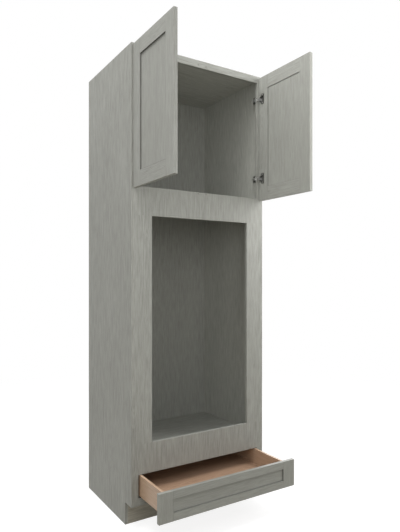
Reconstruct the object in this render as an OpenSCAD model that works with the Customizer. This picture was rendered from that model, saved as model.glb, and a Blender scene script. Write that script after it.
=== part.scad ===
// Tall oven housing unit with a face frame: a two-door cupboard above the oven
// opening, a wide drawer below it and a toe space at the floor.
// The doors are shown open and the drawer part-way out.
// Origin: middle of the back's bottom edge, on the floor at the wall.
// +X is to the right seen from the front, +Y to the wall, +Z up, in millimetres.

/* [Cabinet] */
// Width across the outsides of the side panels
cabinet_w = 838.2; // [813:0.1:914]
// Height from the floor to the top
cabinet_h = 2438.4; // [2388:0.1:2540]
// Depth from the wall to the front of the face frame
cabinet_d = 609.6; // [603:0.1:686]
// Thickness of the sides, top, upper deck and bottom
panel_t = 15.9; // [12.7:0.1:18]
// Thickness of the back panel
back_t = 12.7; // [6.4:0.1:15]
// Depth of the grooves in the sides that hold the top, deck and bottom
dado_d = 6.4; // [3:0.1:8]
// Height of the rail under the upper deck that is screwed to the wall
wall_rail_h = 50.8; // [40:0.1:100]
// Thickness of that rail
wall_rail_t = 19; // [12.7:0.1:25]

/* [Toe space] */
// Height of the toe space
toe_h = 114.3; // [89:0.1:120]
// Set-back of the toe-kick board from the face of the frame
toe_d = 76.2; // [50:0.1:100]
// Thickness of the toe-kick board
toe_board_t = 12.7; // [9:0.1:19]

/* [Face frame] */
// Thickness of the face frame
frame_t = 19; // [16:0.1:25]
// Width of the two outer stiles
stile_w = 38.1; // [35:0.1:50]
// Height of the top rail
top_rail_h = 38.1; // [30:0.1:60]
// Height of the rail between the cupboard and the oven opening
mid_rail_h = 146.1; // [100:0.1:180]
// Height of the rail between the oven opening and the drawer
lower_rail_h = 152.4; // [120:0.1:180]
// Height of the rail under the drawer
bottom_rail_h = 38.1; // [25:0.1:60]
// Height of the drawer opening
drawer_opening_h = 117.5; // [115:0.1:150]
// Width of the oven opening
oven_opening_w = 609.6; // [560:0.1:660]
// Height of the oven opening
oven_opening_h = 1155.7; // [900:0.1:1200]

/* [Oven deck] */
// Height of the deck's top face above the floor
oven_deck_z = 339.7; // [330:0.1:380]
// Thickness of the deck
oven_deck_t = 19; // [15:0.1:25]
// Side play of the deck between the side panels
oven_deck_play = 0.5; // [0.2:0.1:2]
// Height of the cleats under the deck
cleat_h = 32; // [20:0.1:35]
// Thickness of the cleats
cleat_t = 19; // [12:0.1:25]

/* [Doors and drawer front] */
// Angle that the doors stand open, 0 is closed
door_open = 90; // [0:1:105]
// Distance that the drawer stands out, 0 is closed
drawer_out = 257; // [0:1:500]
// Thickness of the doors and the drawer front
front_t = 19; // [18:0.1:22]
// Gap that the bumpers keep between the frame and a closed front
bumper_gap = 3.2; // [3.1:0.1:5]
// Strip of frame left showing beside the fronts
side_reveal = 7.9; // [5:0.1:12]
// Strip of frame left showing above the doors
top_reveal = 9.5; // [5:0.1:12]
// Gap between the two doors
door_gap = 3.2; // [2:0.1:6]
// How far the doors reach down over the rail below them
door_overlap = 12.7; // [10:0.1:20]
// How far the drawer front reaches over the rails above and below it
drawer_overlap = 11.1; // [9:0.1:15]
// Width of the stiles of the fronts, and of the door rails
front_stile_w = 76.2; // [60:0.1:90]
// Height of the rails of the drawer front
drawer_rail_h = 38.1; // [25:0.1:45]
// Depth of the flat panel behind the face of its frame
recess_d = 6.4; // [5:0.1:8]
// Thickness of the flat panel
flat_panel_t = 9.5; // [5:0.1:9.8]
// Depth of the groove that holds the flat panel
groove_d = 9.5; // [6:0.1:12]
// Room for the flat panel to swell in its groove
swell_gap = 0.8; // [0.3:0.1:2]
// Diameter of the bumpers
bumper_dia = 8; // [6:0.1:10]
// Thickness of the bumpers
bumper_t = 2.8; // [2:0.1:2.8]
// Distance from the ends of the drawer front to the middle of its bumpers
drawer_bumper_inset = 81.2; // [50:0.1:120]
// Distance from the free edge of a door to the middle of its bumpers
door_bumper_inset = 23.4; // [15:0.1:40]

/* [Drawer box] */
// Gap on each side between the drawer box and the frame
box_side_gap = 8.3; // [5:0.1:10]
// Gap between the bottom rail and the drawer box
box_lift = 9.5; // [9.5:0.1:12]
// Height of the drawer box
box_h = 104.8; // [90:0.1:105]
// Depth of the drawer box
box_d = 533.4; // [480:0.1:545]
// Thickness of the sides, front and back of the box
box_t = 12.7; // [11:0.1:16]
// Thickness of the bottom of the box
box_bottom_t = 6.4; // [5:0.1:9]
// Height of the box's bottom above the lower edges of its sides
box_bottom_lift = 12.7; // [12.7:0.1:16]
// Dovetails at each corner of the box
tails = 3; // [2:1:5]
// Slope of the dovetails in degrees
tail_slope = 9; // [6:1:12]

/* [Drawer slides] */
// Length of the slides' middle members, with the stops at their ends
slide_l = 533.4; // [480:0.1:550]
// Room between the back panel and the slides' cabinet members
slide_rear_gap = 42.5; // [30:0.1:60]
// Thickness of the slides' sheet steel
slide_sheet = 1.4; // [1:0.1:1.4]
// Width of the innermost channel of the slide
slide_core_w = 13; // [10:0.1:14]
// Height of the flange that is screwed to the spacer
slide_flange_h = 36; // [25:0.1:45]
// Running gap between the slide members
slide_play = 0.3; // [0.2:0.1:0.4]
// Distance from the drawer side to the slide's drawer member
runner_gap = 1.4; // [0.5:0.1:2]
// Height of the spacers between the side panels and the slides
spacer_h = 50.8; // [45:0.1:70]

/* [Hinges] */
// Distance from the end of a door to the middle of its hinge
hinge_inset = 128; // [90:1:200]
// Distance from the door's edge to the hinge pin
pin_from_edge = 8; // [7.5:0.1:8]
// Depth of the hinge pin behind the door's inner face
pin_depth = 10.5; // [10.5:0.1:11]
// Diameter of the hinge pin
pin_dia = 2.5; // [2:0.1:2.6]
// Running clearance of the pin, on its radius
pin_play = 0.05; // [0.02:0.01:0.09]
// Diameter of the hinge cup
cup_dia = 35; // [35:0.1:36]
// Depth of the hinge cup
cup_d = 13.8; // [13.8:0.1:14.5]
// Wall of the hinge cup
cup_wall = 0.8; // [0.6:0.1:0.9]
// Distance from the door's edge to the cup's hole
cup_from_edge = 3; // [3:0.1:3.5]
// Thickness of the cup's fixing wings
wing_t = 1.2; // [0.8:0.1:1.4]
// Width of the wings
wing_w = 26; // [20:0.1:28]
// Distance from one wing's end to the other's
wing_h = 60; // [56:0.1:66]
// Distance between the two screws of a cup
wing_screw_pitch = 45; // [42:0.1:48]
// Distance from the cup's middle to the line of its screws
wing_screw_offset = 9.5; // [8:0.1:11]
// Thickness of the hinge arm's steel
arm_t = 1.4; // [1.2:0.1:1.6]
// Width of the hinge arm
arm_w = 13.6; // [12:0.1:14]
// Height of the hinge arm's side walls
arm_wall_h = 6; // [4:0.1:8]
// Length of the hinge arm behind the face of the frame
arm_l = 38; // [30:0.1:45]
// Thickness of the plate on the stile's edge
plate_t = 1.5; // [1.2:0.1:2]
// Height of that plate at its wide end, behind the stile
plate_h = 40; // [36:0.1:46]
// Length of the plate's hook behind the stile
plate_hook = 8; // [5:0.1:12]

/* [Screws] */
// Diameter of the wood screws
screw_dia = 3.5; // [3:0.1:4]
// Diameter of their heads
screw_head_dia = 7; // [6:0.1:7.5]
// Height of their heads
screw_head_h = 1.2; // [0.8:0.1:1.4]
// Length of the screws in the frame and the spacers
screw_l = 16; // [12:0.1:18]
// Length of the screws in the doors
cup_screw_l = 13; // [8:0.1:14]
// Length of the screws that hold the drawer front to its box
front_screw_l = 25; // [20:0.1:28]

/* [Hidden] */
$fn = 48;
// A cut runs this far past the face it starts on
cut = 1;

// Planes of the cabinet
half_w = cabinet_w / 2;
side_x = half_w - panel_t;
face_y = -cabinet_d;
frame_back_y = face_y + frame_t;
back_y = -back_t;
back_rabbet = panel_t / 2;
edge_x = half_w - stile_w;
oven_edge_x = oven_opening_w / 2;

// Heights of the front, from the floor up
floor_panel_z = toe_h + bottom_rail_h;
drawer_top_z = floor_panel_z + drawer_opening_h;
oven_sill_z = drawer_top_z + lower_rail_h;
oven_head_z = oven_sill_z + oven_opening_h;
cupboard_z = oven_head_z + mid_rail_h;
cupboard_top_z = cabinet_h - top_rail_h;

// Doors and drawer front where they close
front_in_y = face_y - bumper_gap;
front_out_y = front_in_y - front_t;
panel_front_y = front_out_y + recess_d;
panel_back_y = panel_front_y + flat_panel_t;
front_x = half_w - side_reveal;
door_x = door_gap / 2;
door_z = cupboard_z - door_overlap;
door_top_z = cabinet_h - top_reveal;
drawer_front_z = floor_panel_z - drawer_overlap;
drawer_front_top_z = drawer_top_z + drawer_overlap;

// Drawer box where it closes
box_x = edge_x - box_side_gap;
box_in_x = box_x - box_t;
box_z = floor_panel_z + box_lift;
box_top_z = box_z + box_h;
box_bottom_z = box_z + box_bottom_lift;
box_y = front_in_y;
box_front_in_y = box_y + box_t;
box_back_y = box_y + box_d;
box_back_in_y = box_back_y - box_t;
box_groove = box_t / 2;
tail_pitch = box_h / tails;
tail_w = tail_pitch / 2;

// Slide members, from the drawer's bottom down and from the drawer's side inward
slide_y = frame_back_y + 2;
rail_end_y = back_y - slide_rear_gap;
slide_screw_z = floor_panel_z + 28;
slide_screw_inset = 30;
rail_z = floor_panel_z + 1;
runner_x = box_in_x - runner_gap;
shell = slide_sheet + slide_play;
runner_w = slide_core_w + 4 * shell;
carriage_top_z = box_bottom_z - shell;
core_top_z = carriage_top_z - shell;
lip_x = runner_x - runner_w - shell;
lip_h = 10;
runner_leg_z = rail_z + 5;
clip_l = 45;
clip_w = 22;

// Hinges
pin_x = front_x - pin_from_edge;
pin_y = front_in_y - pin_depth;
cup_x = front_x - cup_from_edge - cup_dia / 2;
cup_r = cup_dia / 2;
wing_x = cup_x - wing_screw_offset;
eye_r = pin_dia / 2 + pin_play + 0.9;
wing_corner_r = 6;
ear_gap = 0.4;
ear_w = 6.4;
pin_l = 20.8;
plate_x = edge_x - plate_t;
plate_front_y = face_y + 3;
arm_x = plate_x - arm_t;
arm_screw_y = face_y + 10.5;
plate_screw_pitch = 22;
plate_nose_h = 24;
plate_setback = 4;
plate_back_y = face_y + arm_l - plate_setback;
hinge_zs = [door_z + hinge_inset, door_top_z - hinge_inset];

// Bumper places on the frame: across from the middle, and up
bumper_places = [
    [door_x + door_bumper_inset, (cupboard_z + door_z) / 2],
    [door_x + door_bumper_inset, (cupboard_top_z + door_top_z) / 2],
    [front_x - drawer_bumper_inset, (floor_panel_z + drawer_front_z) / 2],
    [front_x - drawer_bumper_inset, (drawer_top_z + drawer_front_top_z) / 2]
];

// Screws of the drawer front: two in its stiles and two in its upper rail
front_screw_places = [
    [(front_x - front_stile_w + box_in_x) / 2, (box_z + box_top_z) / 2],
    [box_in_x / 3, drawer_front_top_z - drawer_rail_h + 12]
];

// Colours as the photograph shows them
stain = [0.59, 0.59, 0.56];
shade = [0.41, 0.39, 0.36];
maple = [0.76, 0.62, 0.50];
steel = [0.62, 0.62, 0.60];
dark_steel = [0.30, 0.30, 0.29];
clear_plastic = [0.85, 0.86, 0.86];
grey_plastic = [0.45, 0.46, 0.47];

// ---- Helpers ----

// A board between two opposite corners
module board(from, to) {
    translate(from)
        cube(to - from);
}

// A profile drawn across (x, z), run along Y
module along_y(y0, y1) {
    translate([0, y1, 0])
        rotate([90, 0, 0])
            linear_extrude(y1 - y0)
                children();
}

// A profile drawn across (y, z), run along X
module along_x(x0, x1) {
    translate([x0, 0, 0])
        rotate([90, 0, 90])
            linear_extrude(x1 - x0)
                children();
}

// A flat rectangle between two opposite corners
module plane(from, to) {
    translate(from)
        square(to - from);
}

// The left-hand twin of a right-hand piece
module left_hand() {
    mirror([1, 0, 0])
        children();
}

// A piece and its twin on the other side
module both_hands() {
    children();
    left_hand()
        children();
}

// Carries a piece of the closed right-hand door round its hinge pins
module right_door() {
    translate([pin_x, pin_y, 0])
        rotate([0, 0, door_open])
            translate([-pin_x, -pin_y, 0])
                children();
}

module left_door() {
    left_hand()
        right_door()
            children();
}

// Carries a piece of the closed drawer out, or a part of that way
module drawn_out(share = 1) {
    translate([0, -drawer_out * share, 0])
        children();
}

// Puts a piece at both hinges of a right-hand door
module at_hinges() {
    for (z = hinge_zs)
        translate([0, 0, z])
            children();
}

// ---- Carcass ----

// Right-hand side, grooved for the top, deck and bottom, rabbeted for the back
module side_panel() {
    difference() {
        board([side_x, frame_back_y, 0], [half_w, 0, cabinet_h]);
        board([side_x - cut, frame_back_y - cut, -cut], [half_w + cut, face_y + toe_d, toe_h]);
        board([side_x - cut, back_y, -cut], [side_x + back_rabbet, cut, cabinet_h + cut]);
        board([side_x - cut, frame_back_y - cut, cabinet_h - panel_t],
            [side_x + dado_d, back_y, cabinet_h + cut]);
        for (top_z = [cupboard_z, floor_panel_z])
            board([side_x - cut, frame_back_y - cut, top_z - panel_t],
                [side_x + dado_d, back_y, top_z]);
    }
}

module side_panel_left() {
    color(stain)
        left_hand()
            side_panel();
}

module side_panel_right() {
    color(stain)
        side_panel();
}

module back_panel() {
    back_x = side_x + back_rabbet;
    color(stain)
        board([-back_x, back_y, 0], [back_x, 0, cabinet_h]);
}

// A panel let into the grooves of both sides, given the height of its top face
module housed_panel(top_z) {
    housed_x = side_x + dado_d;
    board([-housed_x, frame_back_y, top_z - panel_t], [housed_x, back_y, top_z]);
}

module top_panel() {
    color(stain)
        housed_panel(cabinet_h);
}

module upper_deck() {
    color(stain)
        housed_panel(cupboard_z);
}

module bottom_panel() {
    color(stain)
        housed_panel(floor_panel_z);
}

module oven_deck() {
    deck_x = side_x - oven_deck_play;
    color(stain)
        board([-deck_x, frame_back_y + oven_deck_play, oven_deck_z - oven_deck_t],
            [deck_x, back_y - oven_deck_play, oven_deck_z]);
}

// Cleats under the oven deck: one on each side panel and one on the back
module oven_deck_cleats() {
    top_z = oven_deck_z - oven_deck_t;
    color(stain) {
        both_hands()
            board([side_x - cleat_t, frame_back_y, top_z - cleat_h], [side_x, back_y, top_z]);
        board([cleat_t - side_x, back_y - cleat_t, top_z - cleat_h],
            [side_x - cleat_t, back_y, top_z]);
    }
}

module wall_rail() {
    top_z = cupboard_z - panel_t;
    color(stain)
        board([-side_x, back_y - wall_rail_t, top_z - wall_rail_h], [side_x, back_y, top_z]);
}

module toe_kick_board() {
    board_y = face_y + toe_d;
    color(shade)
        board([-side_x, board_y, 0], [side_x, board_y + toe_board_t, floor_panel_z - panel_t]);
}

// ---- Face frame ----

// Right-hand stile, drilled for the screws of the hinge plates
module frame_stile() {
    difference() {
        board([edge_x, face_y, toe_h], [half_w, frame_back_y, cabinet_h]);
        at_hinges()
            hinge_plate_screws();
    }
}

module frame_stile_left() {
    color(stain)
        left_hand()
            frame_stile();
}

module frame_stile_right() {
    color(stain)
        frame_stile();
}

// A rail between the stiles
module frame_rail(bottom_z, top_z) {
    board([-edge_x, face_y, bottom_z], [edge_x, frame_back_y, top_z]);
}

module frame_top_rail() {
    color(stain)
        frame_rail(cupboard_top_z, cabinet_h);
}

module frame_mid_rail() {
    color(stain)
        frame_rail(oven_head_z, cupboard_z);
}

module frame_lower_rail() {
    color(stain)
        frame_rail(drawer_top_z, oven_sill_z);
}

module frame_bottom_rail() {
    color(stain)
        frame_rail(toe_h, floor_panel_z);
}

// Board that narrows the front to the oven opening
module oven_filler() {
    board([oven_edge_x, face_y, oven_sill_z], [edge_x, frame_back_y, oven_head_z]);
}

module oven_filler_left() {
    color(stain)
        left_hand()
            oven_filler();
}

module oven_filler_right() {
    color(stain)
        oven_filler();
}

// Soft pads on the frame that the doors and the drawer front close against
module bumpers() {
    color(clear_plastic)
        both_hands()
            for (place = bumper_places)
                translate([place[0], face_y, place[1]])
                    rotate([90, 0, 0])
                        cylinder(h = bumper_t, d = bumper_dia);
}

// ---- Screws ----

// Screw that points along +X, with the underside of its head at x = 0
module screw(length) {
    rotate([0, 90, 0]) {
        cylinder(h = length, d = screw_dia);
        translate([0, 0, -screw_head_h])
            cylinder(h = screw_head_h, d = screw_head_dia);
    }
}

// The three screws of one right-hand hinge: two hold the plate, one the arm
module hinge_plate_screws() {
    for (z = [-plate_screw_pitch / 2, plate_screw_pitch / 2])
        translate([plate_x, arm_screw_y, z])
            screw(screw_l);
    translate([arm_x, arm_screw_y, 0])
        screw(screw_l);
}

// The screws that hold the right-hand slide rail to its spacer
module slide_rail_screws() {
    first_y = slide_y + slide_screw_inset;
    last_y = rail_end_y - slide_screw_inset;
    for (y = [first_y, (first_y + last_y) / 2, last_y])
        translate([edge_x - slide_sheet, y, slide_screw_z])
            screw(screw_l);
}

module mounting_screws() {
    color(steel)
        both_hands() {
            at_hinges()
                hinge_plate_screws();
            slide_rail_screws();
        }
}

// ---- Hinges ----

// Plate on the edge of the stile, wider toward its back, with a hook round the stile
module hinge_plate() {
    difference() {
        union() {
            along_x(plate_x, edge_x)
                polygon([
                    [plate_front_y, -plate_nose_h / 2],
                    [frame_back_y, -plate_h / 2],
                    [plate_back_y, -plate_h / 2],
                    [plate_back_y, plate_h / 2],
                    [frame_back_y, plate_h / 2],
                    [plate_front_y, plate_nose_h / 2]
                ]);
            board([edge_x, frame_back_y, -plate_h / 4],
                [edge_x + plate_hook, frame_back_y + plate_t, plate_h / 4]);
        }
        hinge_plate_screws();
    }
}

module hinge_plates() {
    color(dark_steel)
        both_hands()
            at_hinges()
                hinge_plate();
}

// Arm: an eye on the pin, a strap out of the cup, and a channel on the plate
module hinge_arm() {
    strap_y = pin_y - eye_r;
    channel_y = plate_front_y + 2;
    channel_end_y = face_y + arm_l;
    difference() {
        union() {
            translate([pin_x, pin_y, -arm_w / 2])
                cylinder(h = arm_w, r = eye_r);
            board([arm_x, strap_y, -arm_w / 2], [pin_x, strap_y + arm_t, arm_w / 2]);
            board([arm_x, strap_y, -arm_w / 2], [plate_x, channel_end_y, arm_w / 2]);
            for (z = [-arm_w / 2, arm_w / 2 - arm_t])
                board([arm_x - arm_wall_h, channel_y, z], [arm_x, channel_end_y, z + arm_t]);
        }
        translate([pin_x, pin_y, -arm_w])
            cylinder(h = 2 * arm_w, r = pin_dia / 2 + pin_play);
        hinge_plate_screws();
    }
}

module hinge_arms_left() {
    color(steel)
        left_hand()
            at_hinges()
                hinge_arm();
}

module hinge_arms_right() {
    color(steel)
        at_hinges()
            hinge_arm();
}

// Outline of the cup's rim and its two round-cornered wings, drawn across (x, z)
module wing_outline() {
    long_z = wing_h / 2;
    short_z = long_z - wing_corner_r;
    wide_x = wing_w / 2;
    narrow_x = wide_x - wing_corner_r;
    translate([cup_x, 0])
        circle(r = cup_r + 1);
    translate([wing_x, 0]) {
        plane([-wide_x, -short_z], [wide_x, short_z]);
        plane([-narrow_x, -long_z], [narrow_x, long_z]);
        for (x = [-narrow_x, narrow_x], z = [-short_z, short_z])
            translate([x, z])
                circle(r = wing_corner_r);
    }
}

// Round stock from the door's inner face into the door
module cup_blank(radius, depth) {
    translate([cup_x, front_in_y, 0])
        rotate([90, 0, 0])
            cylinder(h = depth, r = radius);
}

module hinge_pin() {
    translate([pin_x, pin_y, -pin_l / 2])
        cylinder(h = pin_l, d = pin_dia);
}

// The two screws of a cup
module cup_screws() {
    for (z = [-wing_screw_pitch / 2, wing_screw_pitch / 2])
        translate([wing_x, front_in_y + wing_t, z])
            rotate([0, 0, -90])
                screw(cup_screw_l);
}

// Cup with its wings, and the two ears inside it that hold the pin's ends
module hinge_cup() {
    floor_y = front_in_y - cup_d + cup_wall;
    ear_z = arm_w / 2 + ear_gap;
    difference() {
        union() {
            difference() {
                union() {
                    cup_blank(cup_r, cup_d);
                    along_y(front_in_y, front_in_y + wing_t)
                        wing_outline();
                }
                translate([0, wing_t + cut, 0])
                    cup_blank(cup_r - cup_wall, cup_d - cup_wall + wing_t + cut);
            }
            intersection() {
                cup_blank(cup_r - cup_wall / 2, cup_d - cup_wall / 2);
                for (z = [-ear_z - cup_r, ear_z])
                    board([pin_x - ear_w / 2, floor_y - cup_wall / 2, z],
                        [pin_x + cup_r, pin_y + ear_w / 2, z + cup_r]);
            }
        }
        hinge_pin();
        cup_screws();
    }
}

module left_hinge_cups() {
    color(dark_steel)
        left_door()
            at_hinges()
                hinge_cup();
}

module right_hinge_cups() {
    color(dark_steel)
        right_door()
            at_hinges()
                hinge_cup();
}

module left_hinge_pins() {
    color(steel)
        left_door()
            at_hinges()
                hinge_pin();
}

module right_hinge_pins() {
    color(steel)
        right_door()
            at_hinges()
                hinge_pin();
}

module left_cup_screws() {
    color(steel)
        left_door()
            at_hinges()
                cup_screws();
}

module right_cup_screws() {
    color(steel)
        right_door()
            at_hinges()
                cup_screws();
}

// ---- Framed fronts: stiles and rails round a flat panel, all where they close ----

// Stile from x0 to x1, grooved on the edge at groove_x
module front_stile(x0, x1, z0, z1, groove_x) {
    difference() {
        board([x0, front_out_y, z0], [x1, front_in_y, z1]);
        board([groove_x - groove_d, panel_front_y, z0 - cut],
            [groove_x + groove_d, panel_back_y, z1 + cut]);
    }
}

// Rail between two stiles, with a stub tenon at each end, grooved at groove_z
module front_rail(x0, x1, z0, z1, groove_z) {
    difference() {
        union() {
            board([x0, front_out_y, z0], [x1, front_in_y, z1]);
            board([x0 - groove_d, panel_front_y, z0], [x1 + groove_d, panel_back_y, z1]);
        }
        board([x0 - groove_d - cut, panel_front_y, groove_z - groove_d],
            [x1 + groove_d + cut, panel_back_y, groove_z + groove_d]);
    }
}

// Flat panel for the opening from x0 to x1 and z0 to z1
module front_panel(x0, x1, z0, z1) {
    reach = groove_d - swell_gap;
    board([x0 - reach, panel_front_y, z0 - reach], [x1 + reach, panel_back_y, z1 + reach]);
}

// ---- Doors, as the right-hand one ----

module door_hinge_stile() {
    inner_x = front_x - front_stile_w;
    difference() {
        front_stile(inner_x, front_x, door_z, door_top_z, inner_x);
        at_hinges() {
            translate([0, cut, 0])
                cup_blank(cup_r, cup_d + cut);
            cup_screws();
        }
    }
}

module door_free_stile() {
    inner_x = door_x + front_stile_w;
    front_stile(door_x, inner_x, door_z, door_top_z, inner_x);
}

module door_rail(z0, groove_z) {
    front_rail(door_x + front_stile_w, front_x - front_stile_w,
        z0, z0 + front_stile_w, groove_z);
}

module door_top_rail() {
    rail_z0 = door_top_z - front_stile_w;
    door_rail(rail_z0, rail_z0);
}

module door_bottom_rail() {
    door_rail(door_z, door_z + front_stile_w);
}

module door_panel() {
    front_panel(door_x + front_stile_w, front_x - front_stile_w,
        door_z + front_stile_w, door_top_z - front_stile_w);
}

module left_door_hinge_stile() {
    color(stain)
        left_door()
            door_hinge_stile();
}

module left_door_free_stile() {
    color(stain)
        left_door()
            door_free_stile();
}

module left_door_top_rail() {
    color(stain)
        left_door()
            door_top_rail();
}

module left_door_bottom_rail() {
    color(stain)
        left_door()
            door_bottom_rail();
}

module left_door_panel() {
    color(stain)
        left_door()
            door_panel();
}

module right_door_hinge_stile() {
    color(stain)
        right_door()
            door_hinge_stile();
}

module right_door_free_stile() {
    color(stain)
        right_door()
            door_free_stile();
}

module right_door_top_rail() {
    color(stain)
        right_door()
            door_top_rail();
}

module right_door_bottom_rail() {
    color(stain)
        right_door()
            door_bottom_rail();
}

module right_door_panel() {
    color(stain)
        right_door()
            door_panel();
}

// ---- Drawer front ----

module drawer_front_stile() {
    inner_x = front_x - front_stile_w;
    difference() {
        front_stile(inner_x, front_x, drawer_front_z, drawer_front_top_z, inner_x);
        front_screws();
    }
}

module drawer_front_stile_left() {
    color(stain)
        drawn_out()
            left_hand()
                drawer_front_stile();
}

module drawer_front_stile_right() {
    color(stain)
        drawn_out()
            drawer_front_stile();
}

module drawer_front_rail(z0, groove_z) {
    rail_x = front_x - front_stile_w;
    difference() {
        front_rail(-rail_x, rail_x, z0, z0 + drawer_rail_h, groove_z);
        front_screws();
    }
}

module drawer_front_top_rail() {
    rail_z0 = drawer_front_top_z - drawer_rail_h;
    color(stain)
        drawn_out()
            drawer_front_rail(rail_z0, rail_z0);
}

module drawer_front_bottom_rail() {
    color(stain)
        drawn_out()
            drawer_front_rail(drawer_front_z, drawer_front_z + drawer_rail_h);
}

module drawer_front_panel() {
    panel_x = front_x - front_stile_w;
    color(stain)
        drawn_out()
            front_panel(-panel_x, panel_x,
                drawer_front_z + drawer_rail_h, drawer_front_top_z - drawer_rail_h);
}

// Screws through the box's front into the drawer front
module front_screws() {
    both_hands()
        for (place = front_screw_places)
            translate([place[0], box_front_in_y, place[1]])
                rotate([0, 0, -90])
                    screw(front_screw_l);
}

module drawer_front_screws() {
    color(steel)
        drawn_out()
            front_screws();
}

// ---- Drawer box, dovetailed at its corners ----

// Tails of the right-hand side, from the shoulder at root_y to the end at end_y
module box_tails(root_y, end_y) {
    flare = box_t * tan(tail_slope);
    along_x(box_in_x, box_x)
        for (i = [0 : tails - 1]) {
            mid_z = box_z + (i + 0.5) * tail_pitch;
            polygon([
                [root_y, mid_z - tail_w / 2],
                [end_y, mid_z - tail_w / 2 - flare],
                [end_y, mid_z + tail_w / 2 + flare],
                [root_y, mid_z + tail_w / 2]
            ]);
        }
}

// The bottom board, which is let into all four walls of the box
module bottom_board() {
    groove_x = box_in_x + box_groove;
    board([-groove_x, box_front_in_y - box_groove, box_bottom_z],
        [groove_x, box_back_in_y + box_groove, box_bottom_z + box_bottom_t]);
}

module drawer_side() {
    difference() {
        union() {
            board([box_in_x, box_front_in_y, box_z], [box_x, box_back_in_y, box_top_z]);
            box_tails(box_front_in_y, box_y);
            box_tails(box_back_in_y, box_back_y);
        }
        bottom_board();
    }
}

module drawer_side_left() {
    color(maple)
        drawn_out()
            left_hand()
                drawer_side();
}

module drawer_side_right() {
    color(maple)
        drawn_out()
            drawer_side();
}

module drawer_box_front() {
    color(maple)
        drawn_out()
            difference() {
                board([-box_x, box_y, box_z], [box_x, box_front_in_y, box_top_z]);
                both_hands()
                    box_tails(box_front_in_y, box_y);
                bottom_board();
                front_screws();
            }
}

// The back is notched at its lower corners, where the runners pass
module drawer_box_back() {
    notch_x = lip_x - 1;
    color(maple)
        drawn_out()
            difference() {
                board([-box_x, box_back_in_y, box_z], [box_x, box_back_y, box_top_z]);
                both_hands()
                    box_tails(box_back_in_y, box_back_y);
                both_hands()
                    board([notch_x, box_back_in_y - cut, box_z - cut],
                        [box_in_x, box_back_y + cut, box_bottom_z]);
                bottom_board();
            }
}

module drawer_bottom() {
    color(maple)
        drawn_out()
            bottom_board();
}

// ---- Drawer slides: three channels, one inside the other ----

// Channel open at the bottom, drawn across (x, z), with its right wall at right_x
module channel(right_x, width, bottom_z, top_z) {
    difference() {
        plane([right_x - width, bottom_z], [right_x, top_z]);
        plane([right_x - width + slide_sheet, bottom_z - cut],
            [right_x - slide_sheet, top_z - slide_sheet]);
    }
}

// Cabinet member: flange on the spacer, tray under the drawer side, core and lip
module slide_rail() {
    core_x = runner_x - 2 * shell;
    difference() {
        along_y(slide_y, rail_end_y) {
            plane([edge_x - slide_sheet, rail_z], [edge_x, rail_z + slide_flange_h]);
            plane([lip_x, rail_z], [edge_x, rail_z + slide_sheet]);
            plane([lip_x, rail_z], [lip_x + slide_sheet, rail_z + lip_h]);
            channel(core_x, slide_core_w, rail_z, core_top_z);
        }
        slide_rail_screws();
    }
}

module slide_rail_left() {
    color(steel)
        left_hand()
            slide_rail();
}

module slide_rail_right() {
    color(steel)
        slide_rail();
}

// Middle member, which travels half as far as the drawer
module slide_carriage() {
    carriage_inset = 12;
    along_y(slide_y + carriage_inset, slide_y + slide_l - carriage_inset)
        channel(runner_x - shell, runner_w - 2 * shell,
            rail_z + slide_sheet + slide_play, carriage_top_z);
}

module slide_carriage_left() {
    color(steel)
        drawn_out(0.5)
            left_hand()
                slide_carriage();
}

module slide_carriage_right() {
    color(steel)
        drawn_out(0.5)
            slide_carriage();
}

// Drawer member, under the drawer's bottom and through the notch in its back
module drawer_runner() {
    along_y(box_front_in_y, box_back_y)
        channel(runner_x, runner_w, runner_leg_z, box_bottom_z);
}

module drawer_runner_left() {
    color(steel)
        drawn_out()
            left_hand()
                drawer_runner();
}

module drawer_runner_right() {
    color(steel)
        drawn_out()
            drawer_runner();
}

// Clips behind the box's front that lock the drawer to its runners
module drawer_clips() {
    clip_x = runner_x - runner_w;
    clip_z = rail_z + lip_h + 1;
    color(grey_plastic)
        drawn_out()
            both_hands()
                board([clip_x - clip_w, box_front_in_y, clip_z],
                    [clip_x, box_front_in_y + clip_l, box_bottom_z]);
}

// Strip that brings the slide out to the edge of the frame opening
module slide_spacer() {
    difference() {
        board([edge_x, frame_back_y, floor_panel_z],
            [side_x, rail_end_y, floor_panel_z + spacer_h]);
        slide_rail_screws();
    }
}

module slide_spacer_left() {
    color(maple)
        left_hand()
            slide_spacer();
}

module slide_spacer_right() {
    color(maple)
        slide_spacer();
}

// ---- Nodes ----

side_panel_left();
side_panel_right();
back_panel();
top_panel();
upper_deck();
oven_deck();
bottom_panel();
toe_kick_board();
oven_deck_cleats();
wall_rail();
frame_stile_left();
frame_stile_right();
frame_top_rail();
frame_mid_rail();
frame_lower_rail();
frame_bottom_rail();
oven_filler_left();
oven_filler_right();
bumpers();
slide_spacer_left();
slide_spacer_right();
slide_rail_left();
slide_rail_right();
mounting_screws();
hinge_plates();
hinge_arms_left();
hinge_arms_right();
slide_carriage_left();
slide_carriage_right();
drawer_side_left();
drawer_side_right();
drawer_box_front();
drawer_box_back();
drawer_bottom();
drawer_front_stile_left();
drawer_front_stile_right();
drawer_front_top_rail();
drawer_front_bottom_rail();
drawer_front_panel();
drawer_runner_left();
drawer_runner_right();
drawer_clips();
drawer_front_screws();
left_door_hinge_stile();
left_door_free_stile();
left_door_top_rail();
left_door_bottom_rail();
left_door_panel();
left_hinge_cups();
left_hinge_pins();
left_cup_screws();
right_door_hinge_stile();
right_door_free_stile();
right_door_top_rail();
right_door_bottom_rail();
right_door_panel();
right_hinge_cups();
right_hinge_pins();
right_cup_screws();
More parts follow.
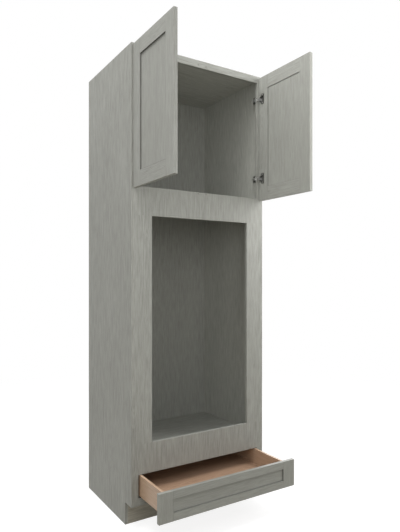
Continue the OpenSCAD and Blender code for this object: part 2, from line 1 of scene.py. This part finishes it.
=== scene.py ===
"""Tall oven housing unit: materials, light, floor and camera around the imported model.

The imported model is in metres: +X to the right, +Y to the wall, +Z up, with the
origin at the middle of the back's bottom edge. At rest the doors stand open and the
drawer is part-way out.
"""
import itertools
import math
import random

import bpy
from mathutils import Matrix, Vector


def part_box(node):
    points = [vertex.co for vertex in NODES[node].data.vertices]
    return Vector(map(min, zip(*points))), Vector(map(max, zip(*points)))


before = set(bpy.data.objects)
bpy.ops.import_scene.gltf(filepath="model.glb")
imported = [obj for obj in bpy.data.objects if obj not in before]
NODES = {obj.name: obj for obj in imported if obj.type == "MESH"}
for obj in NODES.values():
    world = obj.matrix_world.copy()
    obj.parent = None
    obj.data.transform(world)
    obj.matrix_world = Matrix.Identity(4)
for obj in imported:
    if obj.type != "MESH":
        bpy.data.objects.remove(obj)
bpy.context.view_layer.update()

# Axes of the row frame
AXES = {"X": 0, "Y": 1, "Z": 2}
WHITE = (1, 1, 1)

# ---------------------------------------------------------------- node tools


class Graph:
    """A short way to add and join the nodes of a material or of the world."""

    def __init__(self, owner):
        owner.use_nodes = True
        self.owner = owner
        self.tree = owner.node_tree
        self.tree.nodes.clear()

    def add(self, kind, inputs=None, **settings):
        node = self.tree.nodes.new(kind)
        for key, value in settings.items():
            setattr(node, key, value)
        for key, value in (inputs or {}).items():
            self.set(node.inputs[key], value)
        return node

    def set(self, socket, value):
        if isinstance(value, bpy.types.NodeSocket):
            self.tree.links.new(value, socket)
        else:
            socket.default_value = value

    def place(self):
        """A point's place in the row frame at rest, which its piece takes along as it moves."""
        return self.add("ShaderNodeTexCoord").outputs["Object"]

    def split(self, vector):
        """The three parts of a vector, by axis."""
        return self.add("ShaderNodeSeparateXYZ", {0: vector}).outputs

    def vector(self, operation, *values):
        node = self.add("ShaderNodeVectorMath", dict(enumerate(values)), operation=operation)
        return node.outputs[0]

    def scaled(self, vector, scale):
        return self.vector("MULTIPLY", vector, scale)

    def math(self, operation, a, b=0.0, c=0.0, clamp=False):
        node = self.add("ShaderNodeMath", operation=operation, use_clamp=clamp)
        for socket, value in zip(node.inputs, (a, b, c)):
            self.set(socket, value)
        return node.outputs[0]

    def noise(self, vector, cells, detail=2.0, roughness=0.5, output="Fac"):
        """Noise of so many cells to a metre on each axis, about 0 to 1 round 0.5."""
        node = self.add("ShaderNodeTexNoise", {"Vector": self.scaled(vector, cells), "Scale": 1.0,
                                               "Detail": detail, "Roughness": roughness})
        return node.outputs[output]

    def swing(self, noise):
        """The noise brought round 0."""
        return self.math("SUBTRACT", noise, 0.5)

    def span(self, value, low, high, to_low=0.0, to_high=1.0, smooth=False):
        """Brings low..high to to_low..to_high, held at its ends."""
        kind = "SMOOTHSTEP" if smooth else "LINEAR"
        node = self.add("ShaderNodeMapRange", {"Value": value, "From Min": low, "From Max": high,
                                               "To Min": to_low, "To Max": to_high},
                        interpolation_type=kind, clamp=True)
        return node.outputs[0]

    def blend(self, share, first, second):
        """The first colour where the share is 0, and the second where it is 1."""
        node = self.add("ShaderNodeMix", data_type="RGBA")
        colours = [s for s in node.inputs if s.type == "RGBA"]
        self.set(node.inputs[0], share)
        self.set(colours[0], first)
        self.set(colours[1], second)
        return [s for s in node.outputs if s.type == "RGBA"][0]

    def bump(self, height, strength, distance):
        node = self.add("ShaderNodeBump",
                        {"Height": height, "Strength": strength, "Distance": distance})
        return node.outputs[0]

    def shader(self, kind, *inputs, **named):
        """A shader node's output, from its inputs in order or by name."""
        return self.add(kind, {**dict(enumerate(inputs)), **named}).outputs[0]

    def looked_at(self):
        """1 for a ray that shows a thing, straight, mirrored or through glass, and else 0."""
        path = self.add("ShaderNodeLightPath").outputs
        reflected = self.math("MAXIMUM", path["Is Glossy Ray"], path["Is Transmission Ray"])
        return self.math("MAXIMUM", path["Is Camera Ray"], reflected)

    def finish(self, shader, output="ShaderNodeOutputMaterial"):
        """Joins the shader to the output and gives back the finished material or world."""
        self.add(output, {"Surface": shader})
        return self.owner


def rgba(colour):
    return (*colour, 1.0)


# ---------------------------------------------------------------- wood

# Each wood's darkest and lightest tone, how strongly its open pores, growth rings (figure),
# streaks and fibres show, how rough its lacquer is, and the weight of a clear coat over it.
# First a grey stain over a fine, open grain
STAIN = {"dark": (0.214, 0.215, 0.192), "light": (0.412, 0.416, 0.386), "pores": 0.2,
         "figure": 0.34, "streak": 1.15, "fibre": 0.4, "rough": 0.48, "coat": 0.0}
# The boards of the framed leaves are calmer, and those of the drawer front most of all
LEAF_STAIN = {**STAIN, "streak": 0.75}
DRAWER_STAIN = {**LEAF_STAIN, "figure": 0.12}
# The toe-kick board takes the stain browner, and painted light makes it lighter, lifting the
# shade under the cabinet
TOE_STAIN_PAINTED_LIGHT = {**STAIN, "dark": (0.27, 0.255, 0.207), "light": (0.57, 0.54, 0.46), "streak": 1.0}
# Clear lacquer on a light, slightly pink wood, which is redder in the drawer's bottom
MAPLE = {"dark": (0.385, 0.245, 0.155), "light": (0.60, 0.43, 0.305), "pores": 0.08,
         "figure": 0.45, "streak": 0.7, "fibre": 0.3, "rough": 0.4, "coat": 0.25}
BOTTOM_MAPLE = {**MAPLE, "dark": (0.28, 0.17, 0.105), "light": (0.53, 0.355, 0.25)}

# Cells of each noise to a metre: across a board, through it and along its grain
DRIFT_CELLS = (9, 9, 3.2)
BULGE_CELLS = (4, 4, 3.4)
UNEVEN_CELLS = (60, 60, 3)
BLOTCH_CELLS = (5, 5, 1.8)
STREAK_CELLS = (120, 120, 12)
FIBRE_CELLS = (760, 760, 22)
PORE_CELLS = (1500, 1500, 70)

# A board's piece of the tree starts so many metres out, on each axis
OFFSET_RANGE = (2, 40)
# How far the grain wanders across and through the board, and how far the tree bulges
WANDER = (0.013, 0.013, 0.0)
BULGE = 0.075
# Growth of the tree in a year, and how far noise shifts a ring, in radians
RING_PITCH = 0.0075
RING_SHIFT = 9.0
# The tree's heart lies up to this share of the board's width from its middle, where the width
# counts up to HEART_WIDTH, behind the board by a depth, and leans by so much a metre
HEART_SHARE = 0.3
HEART_WIDTH = 0.3
HEART_DEPTHS = (0.004, 0.012)
HEART_LEANS = (0.006, 0.02)
# Noise at which an open pore begins and is full. A ring's wave runs from the early wood to
# the late wood over EARLY_TO_LATE, and LATE_PORES is the share of the pores that is left there
PORE_EDGES = (0.60, 0.72)
EARLY_TO_LATE = (-1.0, 0.6)
LATE_PORES = 0.35

# Tone of a board without any figure, from 0, dark, to 1, light, and what rings and blotches add
PLAIN_TONE = 0.53
RING_WEIGHT = 0.25
BLOTCH_WEIGHT = 0.3
# The relief: a pore's depth against the fibres', and the height that it all stands for
PORE_RELIEF = 0.8
RELIEF = 0.0004

# Painted light and shade on single faces, as a share of the rest of their board: painted light
# on the side panels' inner faces and on the top panel's underside, which lifts their shade,
# painted shade on the drawer front's top face, and a painted highlight on the right door's
# free edge; then how far under its surface the tone of an edge begins, and half the width over
# which a tone sets in
SIDE_INSIDE_PAINTED_LIGHT = 1.33
CEILING_PAINTED_LIGHT = 1.25
DRAWER_TOP_PAINTED_SHADE = 0.88
DOOR_EDGE_PAINTED_HIGHLIGHT = 1.2
FACE_SKIN = 0.0004
FACE_STEP = 0.0002

# The framed leaves, by the first words of their boards' names: the axis across the leaf, its
# upright boards along that axis, the axis through it, and the side of that axis that is the
# front. Shade is painted into the corners round the sunk panel, and the last number is what
# that painted shade leaves of the tone on the front
LEAVES = {
    "left_door_": {"across": "Y", "stiles": ("free_stile", "hinge_stile"),
                   "through": "X", "side": -1, "painted_corner_shade": 0.53},
    "right_door_": {"across": "Y", "stiles": ("free_stile", "hinge_stile"),
                    "through": "X", "side": 1, "painted_corner_shade": 0.53},
    "drawer_front_": {"across": "X", "stiles": ("stile_left", "stile_right"),
                      "through": "Y", "side": -1, "painted_corner_shade": 0.62},
}
# What the painted corner shade leaves of the tone on a leaf's back, by the frame member at the
# corner
BACK_PAINTED_SHADE = {"hinge_stile": 0.62, "free_stile": 1.0, "bottom_rail": 0.9, "top_rail": 0.95,
              "stile_left": 0.9, "stile_right": 0.9}
# How far the painted corner shade reaches over the panel and over the frame, and the share of
# that where it is full
PAINTED_SHADE_ON_PANEL = 0.0052
PAINTED_SHADE_ON_FRAME = 0.0009
PAINTED_SHADE_CORE = 0.3
# Half the width over which a leaf's front turns into its back
LEAF_TURN = 0.001


def middle(node, axis):
    low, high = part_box(node)
    return (low[axis] + high[axis]) / 2


def board_parts(g, node, grain):
    """A point's place across a board, through it and along its grain, and the board's width."""
    low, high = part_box(node)
    along = AXES[grain]
    widest_first = sorted((axis for axis in range(3) if axis != along),
                          key=lambda axis: low[axis] - high[axis])
    place = g.split(g.place())
    centre = (low + high) / 2
    parts = [g.math("SUBTRACT", place[axis], centre[axis]) for axis in (*widest_first, along)]
    across = widest_first[0]
    return parts, high[across] - low[across]


def growth_rings(g, parts, width, board, pushed, chance):
    """Rings cut nearly along the tree, from -1 to 1: loops near the heart, lines beside it."""
    across, through, along = parts
    heart = chance.uniform(-HEART_SHARE, HEART_SHARE) * min(width, HEART_WIDTH)
    depth = chance.uniform(*HEART_DEPTHS)
    lean = chance.choice((-1, 1)) * chance.uniform(*HEART_LEANS)
    bulge = g.noise(board, BULGE_CELLS, roughness=0.6)
    behind = g.math("MULTIPLY_ADD", along, lean, g.math("ADD", through, depth))
    deep = g.math("MULTIPLY_ADD", g.swing(bulge), BULGE, behind)
    aside = g.math("SUBTRACT", across, heart)
    radius = g.math("SQRT", g.math("ADD", g.math("MULTIPLY", aside, aside),
                                   g.math("MULTIPLY", deep, deep)))
    uneven = g.noise(pushed, UNEVEN_CELLS)
    return g.math("SINE", g.math("MULTIPLY_ADD", radius, 2 * math.pi / RING_PITCH,
                                 g.math("MULTIPLY", uneven, RING_SHIFT)))


def painted_corner_shade(g, corners, reach, front):
    """What the painted shade in the corners leaves of the tone.

    Each corner is the axis and place of its plane, and what is left there on the leaf's front
    and on its back. front is the axis through the leaf, the place of its middle and the side
    that is its front.
    """
    place = g.split(g.place())
    through, halfway, side = front
    forward = g.math("MULTIPLY", g.math("SUBTRACT", place[through], halfway), side)
    left_over = 1.0
    for axis, plane, on_front, on_back in corners:
        away = g.math("ABSOLUTE", g.math("SUBTRACT", place[axis], plane))
        near = g.span(away, PAINTED_SHADE_CORE * reach, reach, 1.0, 0.0)
        taken = g.span(forward, -LEAF_TURN, LEAF_TURN, 1 - on_back, 1 - on_front)
        here = g.math("SUBTRACT", 1.0, g.math("MULTIPLY", near, taken))
        left_over = g.math("MINIMUM", left_over, here)
    return left_over


def painted_face_light(g, axis, plane, side, tone):
    """The tone of painted light and shade past a plane, on the side given as 1 or -1, and 1
    before it.
    """
    place = g.split(g.place())
    past = g.math("MULTIPLY", g.math("SUBTRACT", place[axis], plane), side)
    return g.span(past, -FACE_STEP, FACE_STEP, 1.0, tone)


def wood(name, node, grain, seed, look, corners=None, face=None):
    """Wood of one board with its grain along one axis; seed picks the piece of the tree."""
    g = Graph(bpy.data.materials.new(name))
    chance = random.Random(seed)
    parts, width = board_parts(g, node, grain)
    centred = g.add("ShaderNodeCombineXYZ", dict(enumerate(parts))).outputs[0]
    board = g.vector("ADD", centred, [chance.uniform(*OFFSET_RANGE) for _ in range(3)])
    # The grain wanders a few millimetres across over a hand's length
    drift = g.noise(board, DRIFT_CELLS, output="Color")
    wander = g.vector("SUBTRACT", drift, (0.5, 0.5, 0.5))
    pushed = g.vector("MULTIPLY_ADD", wander, WANDER, board)

    rings = growth_rings(g, parts, width, board, pushed, chance)
    blotches = g.noise(board, BLOTCH_CELLS)
    streaks = g.noise(pushed, STREAK_CELLS, detail=3, roughness=0.6)
    fibres = g.noise(pushed, FIBRE_CELLS, roughness=0.6)
    specks = g.span(g.noise(pushed, PORE_CELLS, detail=1), *PORE_EDGES, smooth=True)
    # Open pores gather in the early wood, between the rings
    pores = g.math("MULTIPLY", specks, g.span(rings, *EARLY_TO_LATE, 1.0, LATE_PORES))

    tone = g.math("MULTIPLY_ADD", g.swing(streaks), look["streak"], PLAIN_TONE)
    tone = g.math("MULTIPLY_ADD", rings, look["figure"] * RING_WEIGHT, tone)
    tone = g.math("MULTIPLY_ADD", g.swing(fibres), look["fibre"], tone)
    tone = g.math("MULTIPLY_ADD", g.swing(blotches), BLOTCH_WEIGHT, tone)
    tone = g.math("MULTIPLY_ADD", pores, -look["pores"], tone, clamp=True)
    colour = g.blend(tone, rgba(look["dark"]), rgba(look["light"]))
    # Painted shade darkens the corners round a sunk panel
    if corners:
        colour = g.scaled(colour, painted_corner_shade(g, **corners))
    # Painted light and shade on one face of the board
    if face:
        colour = g.scaled(colour, painted_face_light(g, *face))

    # The lighter wood is a little smoother
    rough = look["rough"]
    height = g.math("MULTIPLY_ADD", pores, -PORE_RELIEF, fibres)
    return g.finish(g.shader("ShaderNodeBsdfPrincipled", **{
        "Base Color": colour, "Roughness": g.span(tone, 0.2, 0.8, rough + 0.08, rough - 0.05),
        "IOR": 1.5, "Specular IOR Level": 0.35, "Coat Weight": look["coat"],
        "Coat Roughness": 0.3, "Normal": g.bump(height, strength=0.35, distance=RELIEF)}))


# ---------------------------------------------------------------- metal and plastic

# Cells of the noises to a metre: across and along the lines that rolling leaves in sheet
# steel, and its clouds; the texture and the clouds of plastic
LINE_CELLS = 2400
LINE_CELLS_ALONG = 40
STEEL_CLOUDS = (90, 90, 90)
PLASTIC_CELLS = (1800, 1800, 1800)
PLASTIC_CLOUDS = (60, 60, 60)
# Where most of a noise lies
NOISE_RANGE = (0.3, 0.7)
# The second tone of each as a share of the first. On steel the clouds bring the share of the
# bright tone from the one to the other of CLOUD_SHARES, and the lines add LINE_WEIGHT
DULL_STEEL = 0.72
WORN_PLASTIC = 1.18
CLOUD_SHARES = (0.35, 0.75)
LINE_WEIGHT = 0.8
# Height of the lines and of the texture
SHEEN_RELIEF = 0.0001


def metal(name, tone, rough, along="Y", brushed=1.0):
    """Plated sheet steel, with the fine lines that rolling leaves along one axis."""
    g = Graph(bpy.data.materials.new(name))
    cells = [LINE_CELLS] * 3
    cells[AXES[along]] = LINE_CELLS_ALONG
    lines = g.noise(g.place(), cells, roughness=0.6)
    cloud = g.noise(g.place(), STEEL_CLOUDS, detail=3, roughness=0.6)
    dull = [DULL_STEEL * part for part in tone]
    bright = g.math("MULTIPLY_ADD", g.swing(lines), LINE_WEIGHT * brushed,
                    g.span(cloud, *NOISE_RANGE, *CLOUD_SHARES), clamp=True)
    return g.finish(g.shader("ShaderNodeBsdfPrincipled", **{
        "Base Color": g.blend(bright, rgba(dull), rgba(tone)), "Metallic": 1.0,
        "Roughness": g.span(cloud, *NOISE_RANGE, rough - 0.06, rough + 0.08),
        "Normal": g.bump(lines, strength=0.12 * brushed, distance=SHEEN_RELIEF)}))


def plastic(name, tone, rough):
    """Moulded plastic: a fine, even texture in its sheen."""
    g = Graph(bpy.data.materials.new(name))
    texture = g.noise(g.place(), PLASTIC_CELLS)
    cloud = g.span(g.noise(g.place(), PLASTIC_CLOUDS), low=0.35, high=0.65)
    worn = [WORN_PLASTIC * part for part in tone]
    return g.finish(g.shader("ShaderNodeBsdfPrincipled", **{
        "Base Color": g.blend(cloud, rgba(tone), rgba(worn)), "IOR": 1.46,
        "Roughness": g.span(texture, *NOISE_RANGE, rough - 0.05, rough + 0.07),
        "Normal": g.bump(texture, strength=0.15, distance=SHEEN_RELIEF)}))


# ---------------------------------------------------------------- what each node wears

# Boards of the stained wood, by the axis that their grain runs along
STAINED = {
    "Z": ["side_panel_left", "side_panel_right", "back_panel", "frame_stile_left",
          "frame_stile_right", "frame_mid_rail", "frame_lower_rail", "oven_filler_left",
          "oven_filler_right", "left_door_hinge_stile", "left_door_free_stile",
          "left_door_panel", "right_door_hinge_stile", "right_door_free_stile",
          "right_door_panel", "drawer_front_stile_left", "drawer_front_stile_right"],
    "X": ["top_panel", "upper_deck", "oven_deck", "bottom_panel", "wall_rail",
          "frame_top_rail", "frame_bottom_rail", "drawer_front_top_rail",
          "drawer_front_bottom_rail", "drawer_front_panel"],
    "Y": ["left_door_top_rail", "left_door_bottom_rail", "right_door_top_rail",
          "right_door_bottom_rail", "oven_deck_cleats"],
}
# Boards of light wood, with the axis of each one's grain
LIGHT_WOOD = {
    "slide_spacer_left": "Y", "slide_spacer_right": "Y", "drawer_side_left": "Y",
    "drawer_side_right": "Y", "drawer_box_front": "X", "drawer_box_back": "X",
    "drawer_bottom": "X",
}
METALS = {
    "zinc": ["hinge_arms_left", "hinge_arms_right", "left_hinge_pins", "right_hinge_pins",
             "left_cup_screws", "right_cup_screws", "mounting_screws", "drawer_front_screws"],
    "rolled": ["slide_rail_left", "slide_rail_right", "slide_carriage_left",
               "slide_carriage_right", "drawer_runner_left", "drawer_runner_right"],
    "nickel": ["left_hinge_cups", "right_hinge_cups", "hinge_plates"],
}


def leaf_corners():
    """Where shade is painted into the corners of each framed leaf, by node."""
    found = {}
    for leaf, shape in LEAVES.items():
        across, through = AXES[shape["across"]], AXES[shape["through"]]
        members = (*shape["stiles"], "bottom_rail", "top_rail")
        first, second, foot, head = (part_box(leaf + member) for member in members)
        planes = [(across, first[1][across]), (across, second[0][across]),
                  (AXES["Z"], foot[1].z), (AXES["Z"], head[0].z)]
        inner = [(*plane, shape["painted_corner_shade"], BACK_PAINTED_SHADE[member])
                 for plane, member in zip(planes, members)]
        panel = leaf + "panel"
        front = (through, middle(panel, through), shape["side"])
        found[panel] = {"corners": inner, "reach": PAINTED_SHADE_ON_PANEL, "front": front}
        for member, corner in zip(members, inner):
            found[leaf + member] = {"corners": [corner], "reach": PAINTED_SHADE_ON_FRAME, "front": front}
    return found


def painted_light_faces():
    """Boards with painted light and shade on one face each: axis, plane, side and tone, by node.
    """
    x, y, z = AXES["X"], AXES["Y"], AXES["Z"]
    drawer_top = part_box("drawer_front_top_rail")[1].z
    door_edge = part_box("right_door_free_stile")[0].y
    return {
        # Painted light on the side panels' inner faces, lifting the shade inside the cabinet
        "side_panel_left": (x, middle("side_panel_left", x), 1, SIDE_INSIDE_PAINTED_LIGHT),
        "side_panel_right": (x, middle("side_panel_right", x), -1, SIDE_INSIDE_PAINTED_LIGHT),
        # Painted light on the top panel's underside, lifting the shade on the cupboard ceiling
        "top_panel": (z, middle("top_panel", z), -1, CEILING_PAINTED_LIGHT),
        # Painted shade on the drawer front's top face, where the light from above falls
        "drawer_front_top_rail": (z, drawer_top - FACE_SKIN, 1, DRAWER_TOP_PAINTED_SHADE),
        # A painted highlight on the right door's free edge
        "right_door_free_stile": (y, door_edge + FACE_SKIN, -1, DOOR_EDGE_PAINTED_HIGHLIGHT),
    }


def wear(node, material):
    """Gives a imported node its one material."""
    slots = NODES[node].data.materials
    slots.clear()
    slots.append(material)


def dress(corners, faces):
    """Gives each node its material, and each board its own piece of the tree."""
    seeds = itertools.count(1)
    for grain, boards in STAINED.items():
        for node in boards:
            look = STAIN
            if node in corners:
                look = DRAWER_STAIN if node.startswith("drawer_front_") else LEAF_STAIN
            wear(node, wood("stain_" + node, node, grain, next(seeds), look,
                            corners.get(node), faces.get(node)))
    # The toe-kick board's stain is lightened with painted light
    wear("toe_kick_board", wood("toe_stain_painted_light", "toe_kick_board", "X", next(seeds), TOE_STAIN_PAINTED_LIGHT))
    for node, grain in LIGHT_WOOD.items():
        look = BOTTOM_MAPLE if node == "drawer_bottom" else MAPLE
        wear(node, wood("maple_" + node, node, grain, next(seeds), look))
    finishes = {
        "zinc": metal("zinc_steel", (0.92, 0.92, 0.90), 0.45),
        "rolled": metal("rolled_steel", (0.50, 0.51, 0.51), 0.38),
        "nickel": metal("nickel_steel", (0.27, 0.27, 0.26), 0.36, along="Z", brushed=0.5),
    }
    for finish, nodes in METALS.items():
        for node in nodes:
            wear(node, finishes[finish])
    wear("bumpers", plastic("clear_pad", (0.24, 0.24, 0.22), 0.6))
    wear("drawer_clips", plastic("grey_plastic", (0.14, 0.145, 0.15), 0.5))


# The arris that is taken off, the least angle between two faces that counts as one, and the
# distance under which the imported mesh's points are joined first
EASE = 0.0006
EASE_ANGLE = math.radians(40)
WELD = 0.00001


def ease_edges(boards):
    """Takes the sharp arrises off boards."""
    for board in boards:
        modifiers = NODES[board].modifiers
        modifiers.new("weld", "WELD").merge_threshold = WELD
        bevel = modifiers.new("ease", "BEVEL")
        bevel.width = EASE
        bevel.segments = 2
        bevel.limit_method = "ANGLE"
        bevel.angle_limit = EASE_ANGLE
        bevel.use_clamp_overlap = True


# ---------------------------------------------------------------- floor and light

FLOOR_SIZE = 40.0
# The floor's darkest and lightest grey, the cells of their noise to a metre, the glow that
# brings them near white, and the warm grey that throws light back on the object
FLOOR_DARK = (0.25, 0.25, 0.25)
FLOOR_LIGHT = (0.27, 0.27, 0.27)
FLOOR_CELLS = (3, 3, 3)
FLOOR_GLOW = 0.86
FLOOR_BOUNCE = (0.36, 0.335, 0.275)
# Round this point the floor shows the object's shadow: whole out to the near distance, and
# turned to white at the far one
SHADOW_MIDDLE = (0.0, -0.5, 0.0)
SHADOW_NEAR = 1.6
SHADOW_FAR = 4.0

# Colour and strength of the light from all round
AIR_COLOUR = (0.99, 1.0, 0.985)
AIR_STRENGTH = 0.29
# A little over half-way up the object, where most lamps point
MIDDLE = (0.0, -0.5, 1.4)


def stage():
    """A pale floor that keeps the object's shadow and fades to white round it."""
    bpy.ops.mesh.primitive_plane_add(size=FLOOR_SIZE)
    floor = bpy.context.object
    floor.name = "floor"
    g = Graph(bpy.data.materials.new("floor_pale"))
    place = g.place()
    away = g.add("ShaderNodeVectorMath", {0: place, 1: SHADOW_MIDDLE}, operation="DISTANCE")
    far = g.span(away.outputs["Value"], SHADOW_NEAR, SHADOW_FAR, smooth=True)
    mottle = g.span(g.noise(place, FLOOR_CELLS, detail=3), *NOISE_RANGE)
    pale = g.shader("ShaderNodeBsdfDiffuse",
                    g.blend(mottle, rgba(FLOOR_DARK), rgba(FLOOR_LIGHT)))
    glow = g.shader("ShaderNodeEmission", rgba(WHITE), FLOOR_GLOW)
    white = g.shader("ShaderNodeEmission", rgba(WHITE), 1.0)
    near = g.shader("ShaderNodeAddShader", pale, glow)
    seen = g.shader("ShaderNodeMixShader", far, near, white)
    # The object gets back only what a warm, mid-grey floor would throw up on it
    dim = g.shader("ShaderNodeBsdfDiffuse", rgba(FLOOR_BOUNCE))
    floor.data.materials.append(
        g.finish(g.shader("ShaderNodeMixShader", g.looked_at(), dim, seen)))


def surroundings():
    """White where it is looked at, and soft light elsewhere."""
    world = bpy.data.worlds.new("studio")
    bpy.context.scene.world = world
    g = Graph(world)
    soft = g.shader("ShaderNodeBackground", rgba(AIR_COLOUR), AIR_STRENGTH)
    white = g.shader("ShaderNodeBackground", rgba(WHITE), 1.0)
    g.finish(g.shader("ShaderNodeMixShader", g.looked_at(), soft, white),
             "ShaderNodeOutputWorld")


def lamp(name, place, target, size, watts):
    """A square soft lamp at place that shines at target."""
    data = bpy.data.lights.new(name, "AREA")
    data.shape = "SQUARE"
    data.size = size
    data.energy = watts
    light = bpy.data.objects.new(name, data)
    bpy.context.scene.collection.objects.link(light)
    light.location = place
    aim = Vector(target) - Vector(place)
    light.rotation_euler = aim.to_track_quat("-Z", "Y").to_euler()
    return light


def lights():
    """Soft lamps all round, the strongest from above, and small ones for darker places."""
    lamp("high_left", (-1.5, -1.0, 5.0), MIDDLE, size=2.0, watts=119)
    near_right = lamp("near_right", (1.3, -1.3, 2.6), MIDDLE, size=0.8, watts=20)
    # It stands so low over the cabinet's top that its reflection would glare there
    near_right.visible_glossy = False
    lamp("low_right", (1.8, -1.6, 1.7), MIDDLE, size=1.0, watts=16)
    lamp("left", (-2.6, -0.6, 2.8), MIDDLE, size=1.6, watts=3.9)
    lamp("low_left", (-3.2, -0.3, 0.8), (-0.4, -0.3, 0.8), size=2.0, watts=6.9)
    lamp("front", (-1.8, -3.8, 2.2), MIDDLE, size=2.5, watts=18.7)
    lamp("door_top", (-0.1, -1.3, 2.95), (0.41, -0.9, 2.42), size=0.3, watts=3.1)
    lamp("cupboard_fill", (-1.2, -2.8, 2.4), (0.3, -0.3, 2.0), size=1.0, watts=3.6)
    lamp("low_cupboard_fill", (-0.6, -2.0, 1.5), (0.2, 0.0, 2.1), size=0.8, watts=4.7)
    lamp("behind", (3.2, 2.2, 2.8), MIDDLE, size=2.5, watts=70)


# ---------------------------------------------------------------- camera

CAMERA_PLACE = (-1.4621, -2.8869, 1.2635)
CAMERA_TURN = math.radians(-32.569)
# The photograph's size, focal length and optical middle, in pixels
FRAME_PIXELS = (400, 532)
FOCAL_PIXELS = 497.81
MIDDLE_PIXELS = (201.05, 277.51)
# The sensor's longer side, in millimetres
SENSOR = 36.0


def camera():
    """The photograph's camera: level, turned to the right, with its middle shifted."""
    width, height = FRAME_PIXELS
    data = bpy.data.cameras.new("camera")
    data.sensor_width = SENSOR
    data.sensor_fit = "AUTO"
    data.lens = FOCAL_PIXELS * SENSOR / height
    data.shift_x = (width / 2 - MIDDLE_PIXELS[0]) / height
    data.shift_y = (MIDDLE_PIXELS[1] - height / 2) / height
    view = bpy.data.objects.new("camera", data)
    bpy.context.scene.collection.objects.link(view)
    view.location = CAMERA_PLACE
    view.rotation_euler = (math.radians(90), 0.0, CAMERA_TURN)
    bpy.context.scene.camera = view


bpy.context.scene.view_settings.view_transform = "Standard"
camera()
leaves = leaf_corners()
dress(leaves, painted_light_faces())
ease_edges(leaves)
stage()
surroundings()
lights()
